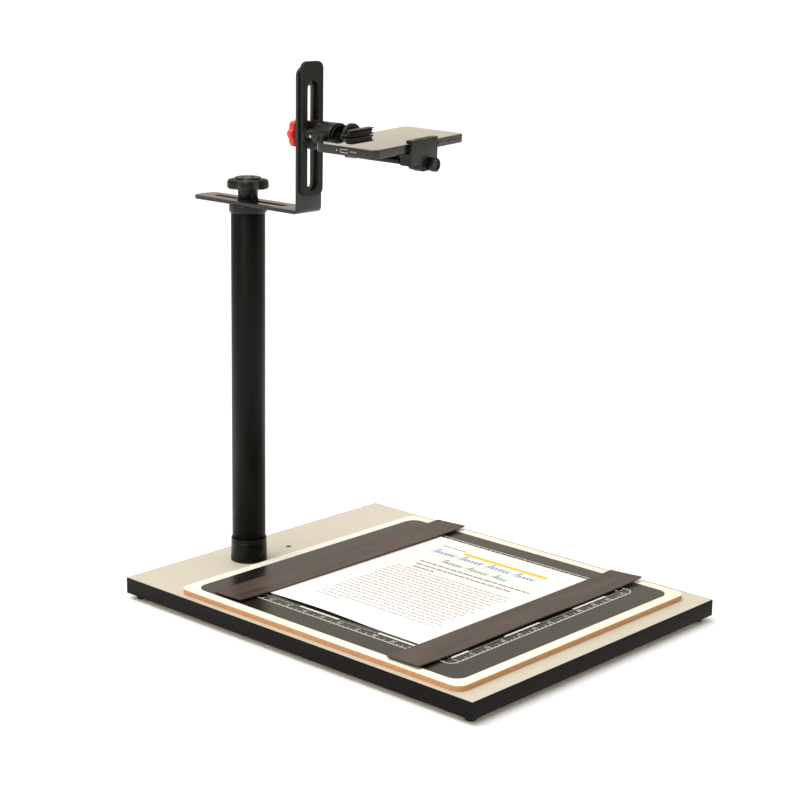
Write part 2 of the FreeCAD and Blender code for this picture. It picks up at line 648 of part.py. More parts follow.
def make_phone(frame):
    frame_body = plate("phone_case", "phone_length", "phone_width", "phone_thick", "phone_corner",
                       ("0", "0", "-phone_thick / 2"))
    glass_bed = plate("glass_bed", "phone_length - 2 * screen_inset", "phone_width - 2 * screen_inset",
                      "screen_thick + 1", "phone_corner - screen_inset",
                      ("0", "0", SCREEN + " - screen_thick"))
    port = plate("port", "9", "3", "6", "1.4", ("-phone_length / 2 + 5", "0", "0"), "-x")
    port.Placement = Placement(port.Placement.Base, Rotation(Vector(0, 1, 0), -90).multiply(
        Rotation(Vector(0, 0, 1), 90)))
    side_x = "34"
    power_bed = box("power_bed", ("11", "2", "2.8"), (side_x, "-" + PHONE_SIDE, "-1.4"))
    volume_bed = box("volume_bed", ("22", "2", "2.8"), ("58", "-" + PHONE_SIDE, "-1.4"))
    finish(cut("phone_cut", frame_body, [glass_bed, port, power_bed, volume_bed]), "phone_body", frame)

    glass = plate("glass", "phone_length - 2 * screen_inset - 0.1", "phone_width - 2 * screen_inset - 0.1",
                  "screen_thick", "phone_corner - screen_inset", ("0", "0", SCREEN + " - screen_thick"))
    finish(cut("glass_cut", glass, [cylinder("lens_hole", "1.4", "4", ("phone_length / 2 - 9", "0", "2"))]),
           "phone_screen", frame)

    bump = plate("bump", "24", "22", "2", "5", ("-phone_length / 2 + 18", "-8", "-phone_thick / 2 - 2"))
    lens_wells, lenses = [], []
    for n, along in enumerate((12.5, 23.5)):
        lens_x = "-phone_length / 2 + %g" % along
        lens_wells.append(cylinder("well_%d" % n, "4.3", "1.5", (lens_x, "-8", "-phone_thick / 2 - 2.5")))
        lenses.append(cylinder("lens_%d" % n, "4.2", "1.0", (lens_x, "-8", "-phone_thick / 2 - 2")))
    finish(cut("bump_cut", bump, lens_wells), "phone_camera_bump", frame)
    finish(group("lens_pair", lenses), "phone_camera_lenses", frame)

    power = box("power", ("10.6", "1.2", "2.4"), (side_x, "-" + PHONE_SIDE, "-1.2"))
    finish(group("power_key", [power]), "phone_power_button", frame)
    for label, along in (("phone_volume_down_button", "52.6"), ("phone_volume_up_button", "63.4")):
        key = box(label + "_key", ("10.2", "1.2", "2.4"), (along, "-" + PHONE_SIDE, "-1.2"))
        finish(group(label + "_solid", [key]), label, frame)


BALL_OFF = "phone_width / 2 + ball_reach"
FAR_OUT = JAW_FACE + " + jaw_rib + jaw_wall"
FAR_MID = "ball_along + far_shift"
NEAR_MID = "ball_along + near_shift"
BLOCK_TOP = "-phone_thick / 2 - jaw_under - 1"
ROD_Z = BLOCK_TOP + " - rod_drop"
LOCK_X = "ball_along + lock_along"
LOCK_Z = BLOCK_TOP + " - lock_drop"


def jaw(name, sign, middle, width, lip, over):
    """Angle-shaped jaw: wall, lip over the screen and shelf under the telephone."""
    wall_mid = "%s(%s + jaw_rib + jaw_wall / 2)" % (sign, JAW_FACE)
    wall = box(name + "_wall", (width, "jaw_wall", "phone_thick + jaw_under + 1 + " + over),
               (middle, wall_mid, BLOCK_TOP))
    pieces = [wall]
    for part, reach, height, low in (("lip", lip, over + " - 0.6", SCREEN + " + 0.6"),
                                     ("shelf", "far_lip", "jaw_under", BLOCK_TOP)):
        deep = reach + " + jaw_rib + jaw_wall"
        mid = "%s(%s - (%s) / 2)" % (sign, FAR_OUT, deep)
        pieces.append(box("%s_%s" % (name, part), (width, deep, height), (middle, mid, low)))
    return pieces


def rods_at(name, start, length, radius):
    pair = []
    for n, sign in enumerate(("-", "+")):
        x = "ball_along + rod_shift %s rod_spread / 2" % sign
        pair.append(cylinder("%s_%d" % (name, n), radius, length, (x, start, ROD_Z), "-y"))
    return pair


def make_far_jaw(frame):
    pieces = jaw("far", "", FAR_MID, "far_width", "far_lip", "far_lip_thick")
    lip_front = JAW_FACE + " - far_lip"
    pieces.append(box("finger", ("far_width", "finger_depth", "finger_height - 0.6"),
                      (FAR_MID, lip_front + " + finger_depth / 2", SCREEN + " + 0.6")))
    pieces.append(box("far_block", ("far_width - far_block_cut", "block_length", "block_depth"),
                      (FAR_MID + " + far_block_cut / 2", FAR_OUT + " - block_length / 2",
                       BLOCK_TOP + " - block_depth")))
    holes = rods_at("far_rod_hole", FAR_OUT + " - 1", "block_length", "rod_radius + run_gap")
    for label, up, height in (("wide_groove", "1.8", "3"), ("narrow_groove", "5.4", "1")):
        holes.append(box(label, ("far_width + 2", "4", height),
                         (FAR_MID, lip_front, SCREEN + " + " + up)))
    finish(cut("far_jaw_cut", fuse("far_jaw_solid", pieces), holes), "far_jaw", frame)


def make_near_jaw(frame):
    pieces = jaw("near", "-", NEAR_MID, "near_width", "near_lip", "near_over")
    block_mid = "-(%s) + block_length / 2" % FAR_OUT
    pieces.append(box("near_block", ("near_width", "block_length", "block_depth"),
                      (NEAR_MID, block_mid, BLOCK_TOP + " - block_depth")))
    pieces.append(box("lock_block", ("lock_width", "block_length - 1", "lock_depth"),
                      (NEAR_MID + " + (near_width - lock_width) / 2", block_mid + " + 0.5",
                       BLOCK_TOP + " - lock_depth")))
    pieces.append(cylinder("near_bump", "bump_radius", "block_length - 1",
                           (NEAR_MID + " + near_width / 2 - lock_width - bump_radius - 1",
                            "-(%s) + block_length" % FAR_OUT,
                            BLOCK_TOP + " - lock_depth + bump_radius + 1.8"), "-y"))
    holes = rods_at("near_rod_hole", "-(%s) + block_length + 1" % FAR_OUT, "block_length - 1", "rod_radius")
    holes.append(box("lip_window", ("near_width - 20", "2.4", "near_over + 2"),
                     (NEAR_MID + " + 1", "-(%s) + 3.9" % FAR_OUT, SCREEN + " + near_over - 1.2")))
    holes.append(cylinder("knob_pin_hole", "2.05", "8", (LOCK_X, "-(%s) + 7" % FAR_OUT, LOCK_Z), "-y"))
    finish(cut("near_jaw_cut", fuse("near_jaw_solid", pieces), holes), "near_jaw", frame)


def make_jaw_pad(frame, label, sign, middle, width):
    """Rubber pad: a thin backing with lengthwise ribs."""
    pieces = [box(label + "_back", (width + " - 2", "0.5", "phone_thick"),
                  (middle, "%s(%s + jaw_rib - 0.25)" % (sign, JAW_FACE), "-phone_thick / 2 - 0.5"))]
    for n in range(5):
        pieces.append(box("%s_rib_%d" % (label, n), (width + " - 2", "jaw_rib - 0.2", "0.9"),
                          (middle, "%s(%s + jaw_rib / 2 - 0.1)" % (sign, JAW_FACE),
                           "-phone_thick / 2 + %g" % (1.7 * n))))
    finish(fuse(label + "_solid", pieces), label, frame)


def make_clamp_slide(frame):
    rods = rods_at("rod", FAR_OUT + " - 2", "2 * (%s) - 4" % FAR_OUT, "rod_radius")
    finish(group("rod_pair", rods), "guide_rods", frame)
    start = FAR_OUT + " - block_length"
    outers = rods_at("sleeve", start, "sleeve_length", "rod_radius + 1.4")
    bores = rods_at("sleeve_bore", start + " + 1", "sleeve_length + 2", "rod_radius + run_gap")
    sleeves = [cut("sleeve_cut_%d" % n, outer, [bore]) for n, (outer, bore) in enumerate(zip(outers, bores))]
    finish(group("sleeve_pair", sleeves), "clamp_spring_sleeves", frame)


def make_jaw_lock(frame):
    face = "-(%s) - 0.3" % FAR_OUT
    handle = cylinder("knuckle", "knuckle_radius", "knuckle_length", (LOCK_X, face, LOCK_Z), "-y")
    dish = cylinder("knuckle_dish", "knuckle_radius - 2.6", "2",
                    (LOCK_X, face + " - knuckle_length + 1.2", LOCK_Z), "-y")
    pin = cylinder("knuckle_pin", "2", "6.5", (LOCK_X, face + " + 6.4", LOCK_Z), "-y")
    finish(fuse("knuckle_solid", [cut("knuckle_cut", handle, [dish]), pin]), "jaw_lock_knob", frame)


def make_clamp_mount(frame):
    disc = cylinder("mount_disc", "disc_radius", "disc_thick",
                    ("ball_along + disc_shift", FAR_OUT + " + disc_thick", "0"), "-y")
    stem = cylinder("stem", "stem_radius", BALL_OFF + " - (%s) - disc_thick - ball_radius + 2" % FAR_OUT,
                    ("ball_along", BALL_OFF + " - ball_radius + 1", "0"), "-y")
    finish(fuse("mount_solid", [disc, stem]), "clamp_mount_stem", frame)
    sphere = ball("sphere", "ball_radius", ("ball_along", BALL_OFF, "0"))
    socket = cylinder("sphere_socket", "stem_radius", "4",
                      ("ball_along", BALL_OFF + " - ball_radius + 1", "0"), "-y")
    flat = cylinder("sphere_flat", "ball_radius", "4",
                    ("ball_along", BALL_OFF + " + ball_radius + 3", "0"), "-y")
    finish(cut("sphere_cut", sphere, [socket, flat]), "clamp_ball", frame)


def make_clamp(frame):
    make_far_jaw(frame)
    make_near_jaw(frame)
    make_jaw_pad(frame, "far_jaw_pad", "", FAR_MID, "far_width")
    make_jaw_pad(frame, "near_jaw_pad", "-", NEAR_MID, "near_width")
    make_clamp_slide(frame)
    make_jaw_lock(frame)
    make_clamp_mount(frame)


# ---------------------------------------------------------------- copy panel, page and strips

def make_copy_surface():
    x, y = "panel_shift_x", "panel_shift_y"
    core_thick = "panel_thick - panel_face_thick"
    core = plate("panel", "panel_width", "panel_depth", core_thick, "panel_corner", (x, y, BOARD_TOP))
    finish(core, "copy_panel")
    face_low = BOARD_TOP + " + " + core_thick
    finish(plate("face", "panel_width", "panel_depth", "panel_face_thick", "panel_corner", (x, y, face_low)),
           "copy_panel_face")
    sheet_low = BOARD_TOP + " + panel_thick"
    finish(plate("steel", "sheet_width", "sheet_depth", "sheet_thick", "sheet_corner", (x, y, sheet_low)),
           "steel_sheet")
    page_low = sheet_low + " + sheet_thick"
    page = box("leaf", ("page_length", "page_width", "page_thick"),
               ("page_shift_x", "page_shift_y", page_low))
    finish(group("leaf_single", [page]), "page")
    strip_low = page_low + " + page_thick"
    finish(plate("back_band", "strip_length", "strip_width", "strip_thick", "1.5",
                 ("2", "strip_back_y", strip_low)), "magnetic_strip_back")
    finish(plate("front_band", "strip_length + 5", "strip_width", "strip_thick", "1.5",
                 ("-2.5", "strip_front_y", strip_low)), "magnetic_strip_front")


def check_and_write():
    doc.recompute()
    for thing in doc.Objects:
        bad = [state for state in thing.State if state in ("Invalid", "Error")]
        if bad:
            raise RuntimeError("%s is %s" % (thing.Name, bad))
    os.makedirs("parts", exist_ok=True)
    for thing in finished:
        if thing.Shape.isNull() or not thing.Shape.isValid() or not thing.Shape.Solids:
            raise RuntimeError("%s has no valid shape" % thing.Label)
        thing.Shape.exportStep("parts/%s.step" % thing.Label)


make_sheet()
make_board()
make_feet()
make_column()
make_cap()
make_arm()
make_top_knob()
make_red_knob()
make_head()
clamp_at = clamp_frame()
make_phone(clamp_at)
make_clamp(clamp_at)
make_copy_surface()
check_and_write()
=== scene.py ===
import math
import random

import bmesh
import bpy
from mathutils import Matrix, Vector


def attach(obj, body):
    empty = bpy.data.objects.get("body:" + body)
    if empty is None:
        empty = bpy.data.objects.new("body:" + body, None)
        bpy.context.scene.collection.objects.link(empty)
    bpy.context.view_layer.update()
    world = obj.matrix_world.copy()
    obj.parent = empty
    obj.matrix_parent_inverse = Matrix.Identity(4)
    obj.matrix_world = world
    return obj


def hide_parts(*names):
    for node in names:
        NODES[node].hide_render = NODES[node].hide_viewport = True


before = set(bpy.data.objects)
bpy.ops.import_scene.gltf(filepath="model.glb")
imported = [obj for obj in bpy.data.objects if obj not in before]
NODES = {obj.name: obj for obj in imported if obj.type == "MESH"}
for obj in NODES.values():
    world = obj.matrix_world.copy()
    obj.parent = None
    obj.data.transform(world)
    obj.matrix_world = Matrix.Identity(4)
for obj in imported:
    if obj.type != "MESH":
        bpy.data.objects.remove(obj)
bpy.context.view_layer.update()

random.seed(7)
MM = 0.001


# ---------------------------------------------------------------- materials

def stuff(name, dark, light, rough, scale, metal=0.0, rough_spread=0.08, bump=0.0, bump_scale=400.0,
          stretch=(1, 1, 1), specular=0.5, coat=0.0, coat_rough=0.1, detail=4.0):
    """Material whose colour, roughness and surface all vary with noise in the object's own space."""
    material = bpy.data.materials.new(name)
    material.use_nodes = True
    tree = material.node_tree
    shader = tree.nodes["Principled BSDF"]
    place = tree.nodes.new("ShaderNodeTexCoord")
    mapping = tree.nodes.new("ShaderNodeMapping")
    mapping.inputs["Scale"].default_value = stretch
    tree.links.new(place.outputs["Object"], mapping.inputs["Vector"])
    noise = tree.nodes.new("ShaderNodeTexNoise")
    noise.inputs["Scale"].default_value = scale
    noise.inputs["Detail"].default_value = detail
    tree.links.new(mapping.outputs["Vector"], noise.inputs["Vector"])
    ramp = tree.nodes.new("ShaderNodeValToRGB")
    ramp.color_ramp.elements[0].position = 0.35
    ramp.color_ramp.elements[0].color = (*dark, 1)
    ramp.color_ramp.elements[1].position = 0.65
    ramp.color_ramp.elements[1].color = (*light, 1)
    tree.links.new(noise.outputs["Fac"], ramp.inputs["Fac"])
    tree.links.new(ramp.outputs["Color"], shader.inputs["Base Color"])
    spread = tree.nodes.new("ShaderNodeMapRange")
    spread.inputs["To Min"].default_value = max(rough - rough_spread, 0.02)
    spread.inputs["To Max"].default_value = min(rough + rough_spread, 1.0)
    tree.links.new(noise.outputs["Fac"], spread.inputs["Value"])
    tree.links.new(spread.outputs["Result"], shader.inputs["Roughness"])
    shader.inputs["Metallic"].default_value = metal
    shader.inputs["Specular IOR Level"].default_value = specular
    shader.inputs["Coat Weight"].default_value = coat
    shader.inputs["Coat Roughness"].default_value = coat_rough
    if bump:
        grain = tree.nodes.new("ShaderNodeTexNoise")
        grain.inputs["Scale"].default_value = bump_scale
        grain.inputs["Detail"].default_value = 3.0
        tree.links.new(mapping.outputs["Vector"], grain.inputs["Vector"])
        relief = tree.nodes.new("ShaderNodeBump")
        relief.inputs["Strength"].default_value = bump
        relief.inputs["Distance"].default_value = 0.0005
        tree.links.new(grain.outputs["Fac"], relief.inputs["Height"])
        tree.links.new(relief.outputs["Normal"], shader.inputs["Normal"])
    return material


LAMINATE = stuff("laminate", (0.56, 0.51, 0.41), (0.61, 0.56, 0.455), 0.42, 900, bump=0.05, bump_scale=1500)
CORE = stuff("chipboard", (0.35, 0.24, 0.14), (0.5, 0.36, 0.22), 0.85, 300, bump=0.4)
EDGE = stuff("edge_band", (0.004, 0.0035, 0.003), (0.008, 0.007, 0.006), 0.55, 250, bump=0.08, specular=0.12)
RUBBER = stuff("rubber", (0.005, 0.005, 0.005), (0.010, 0.010, 0.009), 0.75, 500, bump=0.3, specular=0.2)
STEEL = stuff("bright_steel", (0.5, 0.5, 0.48), (0.62, 0.61, 0.59), 0.28, 60, metal=1.0,
              stretch=(1, 1, 14), bump=0.05)
DARK_STEEL = stuff("black_oxide", (0.012, 0.011, 0.01), (0.03, 0.027, 0.023), 0.45, 300, metal=0.6)
COLUMN = stuff("black_anodised", (0.003, 0.003, 0.0025), (0.006, 0.006, 0.005), 0.4, 90, stretch=(1, 1, 0.15),
               rough_spread=0.05, bump=0.04, bump_scale=2500, specular=0.14)
COLLAR = stuff("collar_plastic", (0.003, 0.003, 0.0025), (0.006, 0.006, 0.005), 0.2, 120, specular=0.22,
               bump=0.03)
CAP_PLASTIC = stuff("cap_plastic", (0.003, 0.003, 0.0025), (0.007, 0.007, 0.006), 0.35, 200, specular=0.3,
                    bump=0.06, bump_scale=1800)
PLASTIC = stuff("black_plastic", (0.004, 0.004, 0.0032), (0.009, 0.009, 0.007), 0.36, 220, bump=0.12,
                bump_scale=1800, specular=0.3)
POWDER = stuff("powder_coat", (0.005, 0.0045, 0.004), (0.010, 0.009, 0.0075), 0.24, 180, bump=0.15,
               bump_scale=2200, specular=0.5)
GRIT = stuff("textured_pad", (0.003, 0.003, 0.0025), (0.022, 0.021, 0.018), 0.7, 1100, bump=1.0,
             bump_scale=700, specular=0.35)
RED = stuff("red_plastic", (0.68, 0.030, 0.014), (0.80, 0.045, 0.020), 0.3, 150, bump=0.05, bump_scale=900)
BRASS = stuff("brass", (0.5, 0.36, 0.14), (0.65, 0.48, 0.2), 0.3, 150, metal=1.0)
NYLON = stuff("nylon", (0.66, 0.65, 0.6), (0.78, 0.77, 0.72), 0.55, 200)
BOARD_EDGE = stuff("hardboard", (0.55, 0.27, 0.12), (0.74, 0.38, 0.17), 0.7, 350, stretch=(1, 1, 3), bump=0.2)
WHITE_FACE = stuff("white_face", (0.86, 0.8, 0.68), (0.92, 0.86, 0.74), 0.35, 120, bump=0.02)
SHEET = stuff("printed_sheet", (0.010, 0.009, 0.007), (0.016, 0.014, 0.011), 0.24, 40, rough_spread=0.04,
              specular=0.3)
MAGNET = stuff("magnet_strip", (0.045, 0.030, 0.023), (0.085, 0.060, 0.046), 0.42, 38, stretch=(0.35, 2.2, 1),
               rough_spread=0.12, bump=0.12, bump_scale=900, specular=0.22)
PAPER = stuff("paper", (0.88, 0.84, 0.80), (0.93, 0.89, 0.85), 0.75, 700, bump=0.05, bump_scale=3000)
INK_WHITE = stuff("white_ink", (0.75, 0.72, 0.65), (0.88, 0.85, 0.78), 0.4, 600)
# This black serves both as real black print on the ruler and as painted shade in the top knob's recesses and
# the phone's port opening.
INK_BLACK_AND_PAINTED_SHADE = stuff("black_ink_and_painted_shade", (0.004, 0.004, 0.004), (0.008, 0.008, 0.007), 0.3, 600)
INK_GREY = stuff("grey_text", (0.26, 0.24, 0.25), (0.46, 0.44, 0.44), 0.8, 900)
INK_DARK = stuff("dark_text", (0.06, 0.06, 0.06), (0.14, 0.14, 0.14), 0.8, 900)
INK_BLUE = stuff("blue_text", (0.06, 0.22, 0.52), (0.10, 0.30, 0.62), 0.8, 900)
INK_GREEN = stuff("green_text", (0.1, 0.35, 0.08), (0.16, 0.45, 0.12), 0.8, 900)
INK_YELLOW = stuff("yellow_bar", (0.82, 0.55, 0.0), (0.92, 0.62, 0.0), 0.7, 900)
GLASS = stuff("phone_glass", (0.010, 0.010, 0.010), (0.014, 0.014, 0.013), 0.03, 30, rough_spread=0.01,
              specular=0.9, coat=1.0, coat_rough=0.02)
PHONE_METAL = stuff("phone_frame", (0.008, 0.008, 0.008), (0.016, 0.015, 0.014), 0.25, 200, specular=0.5)
LENS = stuff("lens", (0.004, 0.005, 0.012), (0.01, 0.012, 0.025), 0.05, 100, specular=0.8)
PORT = stuff("port_metal", (0.5, 0.5, 0.5), (0.7, 0.7, 0.7), 0.3, 300, metal=1.0)
FLOOR = stuff("floor", (0.93, 0.93, 0.93), (0.95, 0.95, 0.95), 0.9, 8)


# ---------------------------------------------------------------- mesh helpers

def made(name, mesh, material, body, replaced=(), smooth=True, bevel=0.0, turn=None):
    """Put a mesh in the scene, give it its finish and let it ride on a CAD body."""
    piece = bpy.data.objects.new(name, mesh)
    bpy.context.scene.collection.objects.link(piece)
    if turn is not None:
        piece.matrix_world = turn
    mesh.materials.clear()
    mesh.materials.append(material)
    for face in mesh.polygons:
        face.use_smooth = smooth
    if bevel:
        rounding = piece.modifiers.new("rounding", "BEVEL")
        rounding.width = bevel
        rounding.segments = 3
        rounding.limit_method = "ANGLE"
        rounding.angle_limit = math.radians(35)
        rounding.harden_normals = True
    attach(piece, body)
    if replaced:
        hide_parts(*replaced)
    return piece


def from_bmesh(name, bm):
    bmesh.ops.recalc_face_normals(bm, faces=bm.faces)
    mesh = bpy.data.meshes.new(name)
    bm.to_mesh(mesh)
    bm.free()
    return mesh


def refined(node, material, body, bevel):
    """Copy of a CAD node with its flat faces merged and its edges rounded."""
    bm = bmesh.new()
    bm.from_mesh(NODES[node].data)
    bmesh.ops.remove_doubles(bm, verts=bm.verts, dist=2e-6)
    bmesh.ops.dissolve_limit(bm, angle_limit=math.radians(1.5), verts=bm.verts, edges=bm.edges)
    mesh = from_bmesh(node + "_mesh", bm)
    piece = made(node + "_refined", mesh, material, body, (node,), smooth=True, bevel=bevel * MM)
    return piece


def rings_mesh(name, rings, closed=True):
    """Skin a stack of rings of points, all with the same count; closed adds a face at each end."""
    bm = bmesh.new()
    loops = [[bm.verts.new(point) for point in ring] for ring in rings]
    count = len(loops[0])
    for low, high in zip(loops, loops[1:]):
        for n in range(count):
            bm.faces.new((low[n], low[(n + 1) % count], high[(n + 1) % count], high[n]))
    if closed:
        bm.faces.new(list(reversed(loops[0])))
        bm.faces.new(loops[-1])
    return from_bmesh(name, bm)


AXES = {
    "z": Matrix.Identity(3),
    "y": Matrix.Rotation(math.radians(-90), 3, "X"),
    "-y": Matrix.Rotation(math.radians(90), 3, "X"),
    "-x": Matrix.Rotation(math.radians(-90), 3, "Y"),
}


def lathe_rings(profile, centre, axis="z", steps=96, wobble=None):
    """Rings from a profile of radius and height; wobble changes the radius with the angle."""
    rings = []
    for radius, height in profile:
        ring = []
        for n in range(steps):
            angle = 2 * math.pi * n / steps
            reach = radius if wobble is None else wobble(radius, height, angle)
            point = Vector((reach * math.cos(angle), reach * math.sin(angle), height))
            ring.append((AXES[axis] @ point + Vector(centre)) * MM)
        rings.append(ring)
    return rings


def lathe(name, profile, centre, material, body, replaced=(), axis="z", steps=96, wobble=None, bevel=0.0,
          turn=None, hollow=False):
    rings = lathe_rings(profile, centre, axis, steps, wobble)
    mesh = rings_mesh(name + "_mesh", rings, closed=not hollow)
    return made(name, mesh, material, body, replaced, bevel=bevel * MM, turn=turn)


def ring_profile(points):
    """Closed profile of a ring-shaped part: the last point returns to the first."""
    return points + [points[0]]


def rounded_rect(length, width, radius, steps=10):
    points = []
    for sx, sy, start in ((1, 1, 0), (-1, 1, 90), (-1, -1, 180), (1, -1, 270)):
        for n in range(steps + 1):
            angle = math.radians(start + 90.0 * n / steps)
            points.append((sx * (length / 2 - radius) + radius * math.cos(angle),
                           sy * (width / 2 - radius) + radius * math.sin(angle)))
    return points


def flats(name, quads, material, body, turn=None):
    """Many small flat outlines in one mesh."""
    bm = bmesh.new()
    for quad in quads:
        bm.faces.new([bm.verts.new(Vector(point) * MM) for point in quad])
    mesh = bpy.data.meshes.new(name + "_mesh")
    bm.to_mesh(mesh)
    bm.free()
    return made(name, mesh, material, body, smooth=False, turn=turn)


def bar(x0, x1, y0, y1, z):
    return [(x0, y0, z), (x1, y0, z), (x1, y1, z), (x0, y1, z)]


# ---------------------------------------------------------------- board

BOARD_TOP = 24.0
TUBE = 401.5
CAP = 9.0
COLUMN_X, COLUMN_Y = -60.0, 193.5


def dress(node, material):
    NODES[node].data.materials.clear()
    NODES[node].data.materials.append(material)


def make_board():
    for node, material in (("base_core", CORE), ("top_laminate", LAMINATE), ("bottom_laminate", LAMINATE),
                           ("column_foot_plug", PLASTIC), ("cap_thread_insert", BRASS),
                           ("friction_washer", COLLAR), ("ball_liner", NYLON), ("foot_screws", STEEL),
                           ("column_bolt", STEEL), ("column_bolt_washer", STEEL),
                           ("column_locating_screw", DARK_STEEL), ("head_set_screw", STEEL)):
        dress(node, material)
    refined("edge_band", EDGE, "stand", 0.5)
    refined("rubber_feet", RUBBER, "stand", 0.6)


def make_column():
    x, y, z = COLUMN_X, COLUMN_Y, BOARD_TOP
    inner = 19.08
    lathe("column_collar_turned", ring_profile([
        (inner, 0), (20.9, 0), (21.0, 0.4), (21.0, 2.8), (20.8, 3.3), (20.35, 22.4), (19.9, 22.8),
        (19.9, 23.4), (20.3, 23.8), (20.3, 26.4), (19.9, 27.0), (inner + 0.2, 27.0), (inner, 26.6)]),
        (x, y, z), COLLAR, "stand", ("column_collar",), hollow=True, bevel=0.15)
    lathe("column_tube_turned", [(17.0, 0), (19.0, 0), (19.0, TUBE - 0.4), (18.6, TUBE), (17.0, TUBE)],
          (x, y, z), COLUMN, "stand", ("column_tube",), steps=128, hollow=True)
    lathe("column_cap_turned", [(5.0, 0), (18.6, 0), (19.1, 0.1), (20.8, 1.8), (21.0, 2.4), (21.0, CAP - 0.5),
                                (20.5, CAP), (5.0, CAP)],
          (x, y, z + TUBE), CAP_PLASTIC, "stand", ("column_cap",), hollow=True, bevel=0.1)


# ---------------------------------------------------------------- arm and knobs

ARM_LOW = BOARD_TOP + TUBE + CAP + 1.0
ARM_TOP = ARM_LOW + 4.0
ARM_FACE = 97.3
HEAD_Z = ARM_LOW + 84.5


def four_lobes(radius, height, angle):
    """Radius of the top knob: four rounded lobes with soft valleys between them."""
    if radius < 15.5:
        return radius
    swing = math.cos(4 * (angle - math.radians(45)))
    valley = radius * 0.745
    return valley + (radius - valley) * (0.5 + 0.5 * swing) ** 0.75


def make_top_knob():
    low = ARM_TOP + 1.5
    x, y = COLUMN_X, COLUMN_Y
    profile = [(3.1, 0), (10.8, 0), (11.1, 0.3), (11.1, 9.6), (11.4, 10.4), (12.6, 10.9), (17.0, 11.0),
               (21.0, 11.2), (22.4, 11.9), (23.0, 13.4), (23.1, 16.0), (22.9, 18.8), (22.1, 20.8),
               (20.4, 22.0), (17.6, 22.5), (15.6, 22.6), (14.7, 23.0), (14.3, 24.0), (13.5, 24.3),
               (10.0, 24.3), (4.0, 24.3)]
    rings = lathe_rings(profile, (x, y, low), steps=160, wobble=four_lobes)
    made("top_knob_moulding", rings_mesh("top_knob_mesh", rings), PLASTIC, "top_clamp", ("top_knob",))
    # Flat black discs on the knob's top: painted shade standing in for the dark of its four recesses.
    for n in range(4):
        angle = math.radians(90 * n)
        spot = (x + 7.4 * math.cos(angle), y + 7.4 * math.sin(angle), low + 24.32)
        lathe("top_knob_recess_painted_shade_%d" % n, [(2.5, 0), (2.3, 0.0)], spot, INK_BLACK_AND_PAINTED_SHADE, "top_clamp", steps=32)
    lathe("top_knob_nub", [(2.4, -0.2), (2.4, 0.15), (2.0, 0.3)], (x, y, low + 24.2), PLASTIC,
          "top_clamp", steps=40)
    dress("top_knob_stud", STEEL)
    dress("top_knob_washer", DARK_STEEL)


def eight_lobes(radius, height, angle):
    if radius < 11.0:
        return radius
    swing = 0.5 + 0.5 * math.cos(8 * angle)
    return radius * (0.86 + 0.14 * swing ** 0.6)


def make_red_knob():
    start = ARM_FACE + 4.0 + 1.5
    profile = [(3.1, 0), (8.8, 0), (9.0, 0.4), (9.0, 4.6), (10.4, 5.1), (14.6, 5.3), (16.4, 5.9), (17.1, 7.0),
               (17.3, 8.6), (17.3, 10.6), (17.0, 12.0), (16.2, 13.1), (14.6, 13.6), (11.0, 13.7), (9.4, 13.9),
               (9.0, 14.5), (8.4, 14.7), (3.0, 14.7)]
    rings = lathe_rings(profile, (COLUMN_X, start, HEAD_Z), "y", steps=160, wobble=eight_lobes)
    made("red_knob_moulding", rings_mesh("red_knob_mesh", rings), RED, "red_clamp", ("red_knob",))
    dress("red_knob_stud", STEEL)
    dress("red_knob_washer", DARK_STEEL)


def make_arm():
    refined("arm_bracket", POWDER, "arm", 0.45)
    refined("friction_pad", GRIT, "arm", 0.9)


# ---------------------------------------------------------------- ball head

def make_head():
    refined("head_base", PLASTIC, "head", 0.4)
    refined("ball_socket", PLASTIC, "head", 0.8)
    refined("socket_ring", COLLAR, "head", 0.5)
    refined("ball_lock_knob", PLASTIC, "ball_lock", 0.5)
    refined("clamp_mount_stem", PLASTIC, "clamp", 0.5)
    dress("clamp_ball", DARK_STEEL)


# ---------------------------------------------------------------- clamp and telephone

CLAMP_YAW, CLAMP_PITCH, CLAMP_ROLL = 6.6, -1.8, 1.6
TURNED = (Matrix.Rotation(math.radians(CLAMP_YAW), 3, "Z")
          @ Matrix.Rotation(math.radians(CLAMP_PITCH), 3, "Y")
          @ Matrix.Rotation(math.radians(CLAMP_ROLL), 3, "X"))
BALL = Vector((COLUMN_X, 61.0, HEAD_Z))
BALL_FROM_PHONE = Vector((-14.0, 63.4, 0.0))
PHONE_AT = BALL - TURNED @ BALL_FROM_PHONE
CLAMP_TURN = Matrix.Translation(PHONE_AT * MM) @ TURNED.to_4x4()


def make_clamp():
    refined("far_jaw", PLASTIC, "clamp", 0.7)
    refined("far_jaw_pad", RUBBER, "clamp", 0.2)
    refined("clamp_spring_sleeves", PLASTIC, "clamp", 0.3)
    refined("near_jaw", PLASTIC, "moving_jaw", 1.1)
    refined("near_jaw_pad", RUBBER, "moving_jaw", 0.2)
    dress("guide_rods", DARK_STEEL)
    refined("jaw_lock_knob", PLASTIC, "jaw_lock", 0.5)


PHONE_LENGTH, PHONE_WIDTH = 160.0, 78.0
GLASS_LENGTH, GLASS_WIDTH = 155.6, 73.6


def slab_rings(length, width, corner, layers, sharpening=0.0):
    """Rounded outlines from layers of height and inset; the corner tightens with the inset."""
    rings = []
    for height, inset in layers:
        outline = rounded_rect(length - 2 * inset, width - 2 * inset, corner - inset * sharpening)
        rings.append([Vector((px, py, height)) * MM for px, py in outline])
    return rings


def end_patch(x, y0, y1, z0, z1):
    """Small flat rectangle on the telephone's short end."""
    return [(x, y0, z0), (x, y1, z0), (x, y1, z1), (x, y0, z1)]


